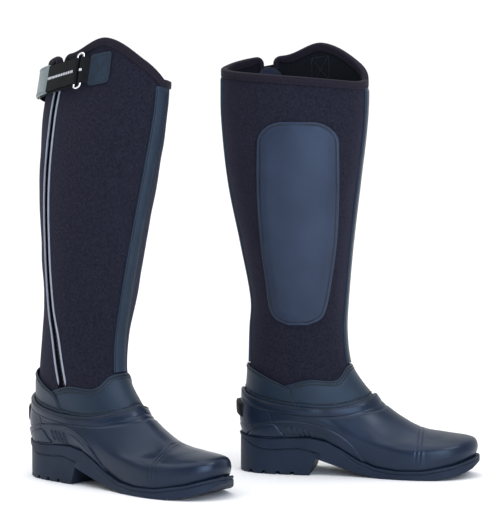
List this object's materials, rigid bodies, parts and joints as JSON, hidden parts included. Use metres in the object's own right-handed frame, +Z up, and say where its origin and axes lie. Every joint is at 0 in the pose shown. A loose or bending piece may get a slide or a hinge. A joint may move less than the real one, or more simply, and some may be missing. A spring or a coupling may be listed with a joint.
{
  "type": "tall winter riding boots",
  "caption": "Pair of tall riding boots: moulded rubber foot on a heeled sole, stitched ankle collar, neoprene shaft, long outer zip, calf patch and elastic top strap.",
  "frame": {"origin": "on the floor under the middle of the pair's bounding box", "axes": "+Z up; +X along the left boot towards its toe, within a few degrees; +Y towards the left boot's outer side"},
  "size_m": [0.5247, 0.2501, 0.506],
  "materials": {
    "sole": "moulded, satin",
    "rubber": "moulded, satin",
    "black_rubber": "matt",
    "leather_look": "fine grain, satin",
    "patch": "fine grain, satin",
    "neoprene": "knit-faced, matt",
    "binding": "knit tape",
    "elastic": "woven",
    "tab": "fine grain",
    "tape": "woven",
    "zip_teeth": "moulded",
    "guard": "pebbled",
    "piping": "reflective",
    "lining": "brushed",
    "board": "fibre board",
    "steel": "satin",
    "ring_metal": "polished"
  },
  "bodies": {
    "right_foot": {"right_outsole": "sole", "right_galosh": "rubber", "right_spur_rest": "black_rubber", "right_vamp_collar": "leather_look", "right_counter_collar": "leather_look", "right_insole_board": "board", "right_footbed": "lining", "right_steel_shank": "steel"},
    "right_shaft": {"right_lateral_front_panel": "neoprene", "right_lateral_rear_panel": "neoprene", "right_medial_panel": "neoprene", "right_shin_strip": "leather_look", "right_back_strip": "leather_look", "right_calf_patch": "patch", "right_top_binding": "binding", "right_zip_chain": "zip_teeth", "right_zip_tape_front": "tape", "right_zip_tape_rear": "tape", "right_piping_front": "piping", "right_piping_rear": "piping", "right_zip_guard": "guard", "right_zip_bottom_stop": "steel", "right_ring_patch": "leather_look", "right_strap_ring": "ring_metal", "right_strap_under_run": "elastic", "right_strap_loop_pad": "tape"},
    "right_zip_slider": {"right_zip_slider": "steel"},
    "right_zip_puller": {"right_zip_puller": "steel"},
    "right_strap_end": {"right_strap_elastic": "elastic", "right_strap_tab": "tab"},
    "left_foot": {"left_outsole": "sole", "left_galosh": "rubber", "left_spur_rest": "black_rubber", "left_vamp_collar": "leather_look", "left_counter_collar": "leather_look", "left_insole_board": "board", "left_footbed": "lining", "left_steel_shank": "steel"},
    "left_shaft": {"left_lateral_front_panel": "neoprene", "left_lateral_rear_panel": "neoprene", "left_medial_panel": "neoprene", "left_shin_strip": "leather_look", "left_back_strip": "leather_look", "left_calf_patch": "patch", "left_top_binding": "binding", "left_zip_chain": "zip_teeth", "left_zip_tape_front": "tape", "left_zip_tape_rear": "tape", "left_piping_front": "piping", "left_piping_rear": "piping", "left_zip_guard": "guard", "left_zip_bottom_stop": "steel", "left_ring_patch": "leather_look", "left_strap_ring": "ring_metal", "left_strap_under_run": "elastic", "left_strap_loop_pad": "tape"},
    "left_zip_slider": {"left_zip_slider": "steel"},
    "left_zip_puller": {"left_zip_puller": "steel"},
    "left_strap_end": {"left_strap_elastic": "elastic", "left_strap_tab": "tab"}
  },
  "joints": [
    {"name": "right_ankle_flex", "type": "hinge", "parent": "right_foot", "child": "right_shaft", "pos_m": [-0.19564, 0.01714, 0.1], "axis": [0.6293, 0.7771, 0], "range_deg": [-8, 15], "stiffness_Nm_per_rad": 12, "deforming": ["right_vamp_collar", "right_counter_collar"]},
    {"name": "right_zip_travel", "type": "hinge", "parent": "right_shaft", "child": "right_zip_slider", "pos_m": [0.72539, 0.10834, 0.28015], "axis": [0.1058, -0.99, 0.093], "range_deg": [0, 18]},
    {"name": "right_puller_lift", "type": "hinge", "parent": "right_zip_slider", "child": "right_zip_puller", "pos_m": [-0.22167, 0.02202, 0.458], "axis": [-0.7805, 0.6226, 0.0572], "range_deg": [0, 12]},
    {"name": "right_strap_open", "type": "hinge", "parent": "right_shaft", "child": "right_strap_end", "pos_m": [-0.2007, -0.00898, 0.46783], "axis": [0.1531, 0.1149, 0.9815], "range_deg": [0, 120]},
    {"name": "left_ankle_flex", "type": "hinge", "parent": "left_foot", "child": "left_shaft", "pos_m": [0.05715, 0.07661, 0.1], "axis": [0.1564, 0.9877, 0], "range_deg": [-8, 15], "stiffness_Nm_per_rad": 12, "deforming": ["left_vamp_collar", "left_counter_collar"]},
    {"name": "left_zip_travel", "type": "hinge", "parent": "left_shaft", "child": "left_zip_slider", "pos_m": [0.59458, -0.67168, 0.34315], "axis": [-0.8062, -0.5818, -0.1072], "range_deg": [0, 18]},
    {"name": "left_puller_lift", "type": "hinge", "parent": "left_zip_slider", "child": "left_zip_puller", "pos_m": [0.01846, 0.10856, 0.45806], "axis": [0.985, -0.1726, -0.0005], "range_deg": [0, 12]},
    {"name": "left_strap_open", "type": "hinge", "parent": "left_shaft", "child": "left_strap_end", "pos_m": [0.05514, 0.11415, 0.46753], "axis": [0.0336, 0.1469, -0.9886], "range_deg": [0, 120]},
    {"name": "left_boot_lift", "type": "slide", "parent": "right_foot", "child": "left_foot", "axis": [0, 0, 1], "range_m": [0, 0.55]}
  ]
}
